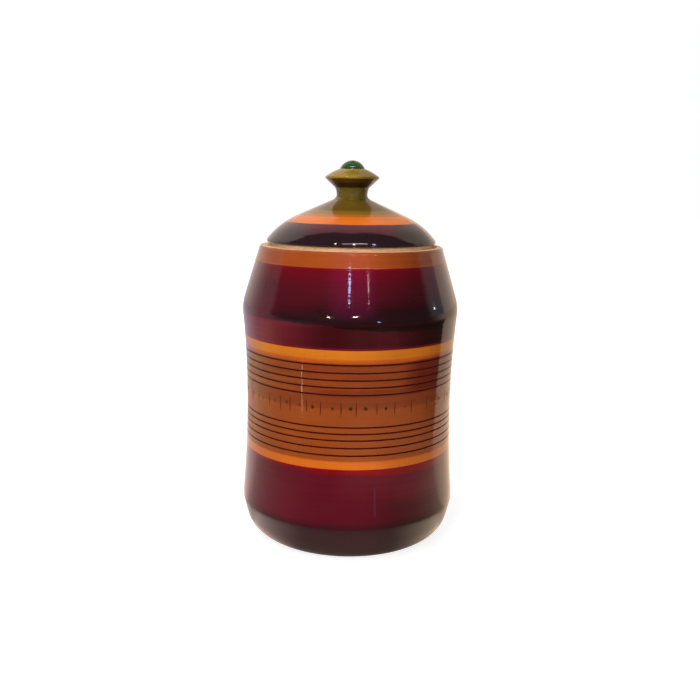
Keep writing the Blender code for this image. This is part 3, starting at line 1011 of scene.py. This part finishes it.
# Small lamps: name, a spot on the jar in millimetres, azimuth, elevation and distance from that spot,
# size in millimetres, radiance, colour
GLINTS = (
    ("streak_blue", (-0.5, -49.2, 133.4), -1.2, 27.1, 1.0, (40.0, 12.0), 80.0, (0.42, 0.58, 1.0)),
    ("streak_warm", (7.9, -48.3, 134.1), 20.9, 26.7, 1.0, (18.0, 10.0), 62.0, (1.0, 0.86, 0.76)),
    ("point_left", (-9.7, -52.8, 118.9), -22.3, 9.0, 1.0, (40.0, 12.0), 210.0, (1.0, 0.88, 0.60)),
    ("point_middle", (2.3, -53.5, 119.6), 5.4, 12.0, 1.0, (90.0, 14.0), 300.0, (1.0, 0.96, 0.92)),
    ("point_blue", (13.2, -52.2, 117.1), 30.2, -2.0, 1.0, (50.0, 16.0), 260.0, (0.22, 0.25, 1.0)),
    ("point_right", (41.0, -32.0, 121.0), 101.0, 11.0, 1.0, (12.0, 18.0), 120.0, (0.9, 0.95, 1.0)),
    ("dash_1", (-21.6, -47.7, 93.5), -52.5, -17.2, 0.1, (0.8, 3.0), 22.0, (1.0, 0.80, 0.58)),
    ("dash_2", (-21.5, -47.4, 87.0), -52.5, -16.6, 0.1, (0.8, 3.5), 24.0, (1.0, 0.80, 0.58)),
    ("dash_3", (-21.5, -47.3, 83.3), -52.4, -16.3, 0.1, (0.8, 1.6), 18.0, (1.0, 0.80, 0.58)),
    ("dash_4", (-21.5, -47.2, 79.9), -52.3, -15.9, 0.1, (0.8, 1.2), 20.0, (1.0, 0.80, 0.58)),
    ("dash_5", (-21.5, -47.1, 76.0), -52.2, -15.5, 0.1, (0.8, 2.0), 22.0, (1.0, 0.80, 0.58)),
    ("streak_low", (12.0, -50.5, 31.0), 29.5, -12.5, 0.1, (2.2, 14.0), 1.2, (0.35, 0.30, 1.0)),
    ("lid_line", (1.3, -40.9, 151.2), 9.2, 69.0, 1.0, (430.0, 60.0), 13.0, (1.0, 0.90, 1.0)),
    ("lid_point_left", (-6.9, -40.4, 151.2), -36.0, 64.6, 1.0, (24.0, 56.0), 100.0, (1.0, 0.95, 0.92)),
    ("lid_point_middle", (1.3, -40.9, 151.2), 6.8, 65.8, 1.0, (26.0, 56.0), 95.0, (1.0, 0.97, 0.94)),
    ("lid_point_right", (9.9, -39.7, 151.2), 49.0, 61.8, 1.0, (28.0, 60.0), 70.0, (0.58, 0.66, 1.0)),
    ("lid_point_side", (26.8, -31.0, 151.2), 114.8, 41.5, 1.0, (20.0, 26.0), 10.0, (1.0, 0.95, 1.0)),
)

# Stage
FLOOR_HALF = 4.0
FLOOR_DROP = 0.1 * MM
FLOOR_TONE = (0.5, 0.5, 0.5)
FLOOR_TONE_ON_JAR = (0.12, 0.12, 0.12)
SOFT_GREY = (0.13, 0.13, 0.13)
WHITE = (1.0, 1.0, 1.0)
WALL_LEFT = (1.02, 0.86, 0.78)
WALL_RIGHT = (1.10, 0.88, 0.72)
CEILING = (1.30, 0.46, 0.52)
SIDE_WALL = (0.36, 0.39, 0.42)
FRONT_ROOM = (0.050, 0.030, 0.040)
WINDOW_GLOW = (0.90, 0.05, 0.36)
WINDOW_BEARING = (3.0, 26.0)
DARK_CORNER_BEARING = (180.0, 59.0)
FLOOR_LEFT = (1.35, 1.00, 0.93)
FLOOR_LEFT_MID = (1.25, 1.00, 0.60)
FLOOR_LEFT_BEHIND = (1.12, 0.76, 0.62)
FLOOR_LEFT_FAR = (1.20, 1.00, 1.15)
FLOOR_RIGHT = (1.36, 1.00, 0.72)
FLOOR_NEAR_LEFT = (1.33, 1.00, 0.90)
FLOOR_NEAR_RIGHT = (1.33, 1.00, 0.74)

# Distances from the axis over which the reflected floor changes, in metres
FIRST_RING = (0.19, 0.25)
SECOND_RING = (0.40, 0.46)


def glossy_only(nodes):
    """The kinds of ray, and 1 for those that carry reflections or 0 for all others."""
    path = nodes.add("ShaderNodeLightPath")
    glossy, through = path.outputs["Is Glossy Ray"], path.outputs["Is Transmission Ray"]
    return path, nodes.maths("ADD", glossy, through, clamp=True)


def room_colour(nodes, direction):
    """What the gloss reflects above the floor: pale walls behind and beside, a dim room in front."""
    parts = nodes.add("ShaderNodeSeparateXYZ", {"Vector": direction})
    x, y, z = (parts.outputs[axis] for axis in "XYZ")
    side = nodes.times(nodes.maths("ABSOLUTE", x), 0.35)
    beyond = nodes.minus(nodes.minus(y, side), nodes.ramp(z, 0.22, 0.42, 0.125, 0.04))
    on_right = nodes.ramp(x, -0.06, 0.06)
    soft = nodes.ramp(beyond, -0.22, 0.40)
    sharp = nodes.ramp(beyond, -0.02, 0.02)
    left = nodes.blend(nodes.ramp(z, 0.35, 0.55), soft, sharp)
    wall_share = nodes.blend(on_right, left, sharp)
    strip = nodes.times(
        nodes.ramp(y, nodes.blend(on_right, -0.05, -0.03), nodes.blend(on_right, 0.07, 0.12)),
        nodes.ramp(z, 0.35, 0.6, 1.0, 0.0),
    )
    glow = nodes.ramp(nodes.towards(direction, *WINDOW_BEARING), 0.86, 0.995)
    front = nodes.mix(nodes.ramp(z, 0.15, 0.4), nodes.scaled(FRONT_ROOM, 2.6), FRONT_ROOM)
    front = nodes.mix(glow, front, WINDOW_GLOW)
    high_right = nodes.scaled(WALL_RIGHT, nodes.ramp(z, 0.2, 0.35, 1.0, 0.66))
    wall = nodes.mix(on_right, WALL_LEFT, high_right)
    wall = nodes.mix(nodes.ramp(z, 0.72, 0.9), wall, CEILING)
    dark_corner = nodes.ramp(nodes.towards(direction, *DARK_CORNER_BEARING), 0.980, 0.992)
    wall = nodes.mix(dark_corner, wall, FRONT_ROOM)
    return nodes.mix(wall_share, nodes.mix(strip, front, SIDE_WALL), wall)


def floor_left(nodes, reach, behind):
    """Level of the floor's reflection on the left: brighter behind, in three rings."""
    close = nodes.plus(nodes.times(behind, 0.60), 0.52)
    close = nodes.larger(close, nodes.ramp(behind, -1.0, -0.4, 0.06, 0.22))
    close = nodes.plus(close, nodes.ramp(behind, 0.2, 0.45, 0.0, 0.25))
    middle = nodes.plus(nodes.times(behind, 0.90), 0.43)
    middle = nodes.larger(middle, nodes.ramp(behind, -1.0, -0.4, 0.04, 0.14))
    far = nodes.plus(
        nodes.ramp(behind, -0.95, -0.70, 0.04, 0.22),
        nodes.ramp(behind, 0.28, 0.60, 0.0, 0.27),
        nodes.ramp(behind, -0.64, 0.28, 0.0, 0.20, smooth=False),
    )
    level = nodes.blend(nodes.ramp(reach, *FIRST_RING), close, middle)
    level = nodes.smaller(level, nodes.ramp(reach, *FIRST_RING, 1.0, 0.86))
    dimmer = nodes.times(nodes.ramp(reach, 0.7, 1.8, 0.0, 0.6), nodes.ramp(behind, -0.3, 0.0, 1.0, 0.0))
    far = nodes.times(far, nodes.minus(1.0, dimmer))
    return nodes.blend(nodes.ramp(reach, *SECOND_RING), level, far)


def floor_right(nodes, x, y, reach, behind):
    """Level of the floor's reflection on the right: bright behind a slanting edge, dim in front of it."""
    close = nodes.plus(nodes.times(behind, 0.62), 0.56)
    close = nodes.larger(close, nodes.ramp(behind, -1.0, -0.5, 0.07, 0.24))
    close = nodes.smaller(nodes.plus(close, nodes.ramp(behind, 0.05, 0.2, 0.0, 0.3)), 1.05)
    rise = nodes.times(nodes.larger(nodes.minus(x, 0.235), 0.0), 0.76)
    past = nodes.minus(y, nodes.plus(rise, 0.028))
    soft = nodes.ramp(x, 0.20, 0.26, 0.035, 0.008)
    share = nodes.ramp(past, nodes.times(soft, -1.0), soft)
    dim = nodes.times(nodes.ramp(reach, 0.26, 0.42, 0.25, 0.05), nodes.ramp(x, 0.262, 0.295, 1.0, 0.4))
    dim = nodes.larger(dim, 0.07)
    far = nodes.blend(share, dim, nodes.ramp(reach, 0.22, 0.45, 1.0, 0.80))
    far = nodes.blend(nodes.ramp(reach, 0.55, 0.9), far, nodes.ramp(behind, -0.05, 0.45, 0.06, 0.70))
    return nodes.blend(nodes.ramp(reach, *FIRST_RING), close, far)


def floor_colour(nodes, place):
    """What the gloss reflects of the floor: bright close by and behind, dim further out in front."""
    parts = nodes.add("ShaderNodeSeparateXYZ", {"Vector": place})
    x, y = parts.outputs["X"], parts.outputs["Y"]
    reach = nodes.length(place)
    behind = nodes.maths("DIVIDE", y, reach)
    aside = nodes.maths("DIVIDE", nodes.maths("ABSOLUTE", x), reach)
    on_right = nodes.ramp(x, -0.06, 0.05)
    on_left = floor_left(nodes, reach, behind)
    level = nodes.blend(on_right, on_left, floor_right(nodes, x, y, reach, behind))
    middle_tint = nodes.mix(nodes.ramp(behind, 0.35, 0.70), FLOOR_LEFT_MID, FLOOR_LEFT_BEHIND)
    left_tint = nodes.mix(nodes.ramp(reach, *FIRST_RING), FLOOR_LEFT, middle_tint)
    left_tint = nodes.mix(nodes.ramp(reach, *SECOND_RING), left_tint, FLOOR_LEFT_FAR)
    tint = nodes.mix(on_right, left_tint, FLOOR_RIGHT)

    close = nodes.ramp(aside, 0.45, 0.95, 0.38, 1.2)
    close = nodes.times(close, nodes.ramp(behind, -0.25, 0.0, 1.0, 0.60))
    under_foot = nodes.ramp(reach, 0.045, 0.056, nodes.blend(on_right, 0.72, 0.40), 1.0)
    close = nodes.times(close, under_foot)
    near = nodes.ramp(reach, 0.063, 0.082, 1.0, 0.0)
    level = nodes.blend(near, level, close)
    near_tint = nodes.mix(on_right, FLOOR_NEAR_LEFT, FLOOR_NEAR_RIGHT)
    return nodes.scaled(nodes.mix(near, tint, near_tint), level)


def add_floor():
    """A white floor that keeps the jar's shadow, and that has its own look in reflections."""
    mesh = bpy.data.meshes.new("floor")
    corners = [(x * FLOOR_HALF, y * FLOOR_HALF, -FLOOR_DROP) for x, y in ((-1, -1), (1, -1), (1, 1), (-1, 1))]
    mesh.from_pydata(corners, [], [(0, 1, 2, 3)])
    floor = bpy.data.objects.new("floor", mesh)
    bpy.context.scene.collection.objects.link(floor)
    material = bpy.data.materials.new("floor_white")
    nodes = Nodes(material)
    nodes.tree.nodes.remove(nodes.shader)
    path, in_gloss = glossy_only(nodes)
    place = nodes.add("ShaderNodeTexCoord").outputs["Object"]
    tone = nodes.mix(path.outputs["Is Diffuse Ray"], FLOOR_TONE, FLOOR_TONE_ON_JAR)
    matt = nodes.add("ShaderNodeBsdfDiffuse", {"Color": tone}).outputs[0]
    strength = nodes.ramp(nodes.length(place), 0.05, 0.18, 0.82, 1.0)
    lift = nodes.add("ShaderNodeEmission", {"Strength": strength}).outputs[0]
    seen = nodes.add("ShaderNodeAddShader", {0: matt, 1: lift}).outputs[0]
    in_camera = path.outputs["Is Camera Ray"]
    direct = nodes.add("ShaderNodeMixShader", {0: in_camera, 1: matt, 2: seen}).outputs[0]
    glow = nodes.add("ShaderNodeEmission", {"Color": floor_colour(nodes, place)}).outputs[0]
    surface = nodes.add("ShaderNodeMixShader", {0: in_gloss, 1: direct, 2: glow}).outputs[0]
    nodes.put(nodes.tree.nodes["Material Output"].inputs["Surface"], surface)
    mesh.materials.append(material)


def add_world():
    """White for the camera, a weak even light for matt surfaces, and a room for the gloss to reflect."""
    world = bpy.data.worlds.new("studio")
    bpy.context.scene.world = world
    nodes = Nodes(world)
    path, in_gloss = glossy_only(nodes)
    direction = nodes.add("ShaderNodeTexCoord").outputs["Generated"]
    colour = nodes.mix(in_gloss, SOFT_GREY, room_colour(nodes, direction))
    colour = nodes.mix(path.outputs["Is Camera Ray"], colour, WHITE)
    nodes.put(nodes.tree.nodes["Background"].inputs["Color"], colour)


def aimed(place, target):
    """A matrix at place whose -Z points at target."""
    turn = (Vector(target) - Vector(place)).to_track_quat("-Z", "Y")
    return Matrix.Translation(place) @ turn.to_matrix().to_4x4()


def add_lamp(name, place, target, size, power, colour, in_gloss):
    """A soft box, or with in_gloss a small lamp that shows only in reflections."""
    lamp = bpy.data.lights.new(name, "AREA")
    lamp.shape = "RECTANGLE"
    lamp.size, lamp.size_y = size
    lamp.energy = power
    lamp.color = colour
    holder = bpy.data.objects.new(name, lamp)
    bpy.context.scene.collection.objects.link(holder)
    holder.matrix_world = aimed(place, target)
    holder.visible_glossy = in_gloss
    holder.visible_diffuse = not in_gloss
    holder.visible_camera = False


def add_lamps():
    """A soft key, top light, fills and a light behind, and small lamps that make the jar's glints."""
    middle = Vector(LAMPS_AIM)
    for name, azimuth, elevation, away, size, power, colour in SOFT_BOXES:
        place = middle + away * compass(azimuth, elevation)
        add_lamp(name, place, middle, size, power, colour, False)
    for name, spot, azimuth, elevation, away, size, radiance, colour in GLINTS:
        spot = Vector(spot) * MM
        wide, high = size[0] * MM, size[1] * MM
        power = radiance * math.pi * wide * high
        place = spot + away * compass(azimuth, elevation)
        add_lamp(name, place, spot, (wide, high), power, colour, True)


add_camera()
add_floor()
add_world()
add_lamps()
bpy.context.scene.view_settings.view_transform = "Standard"
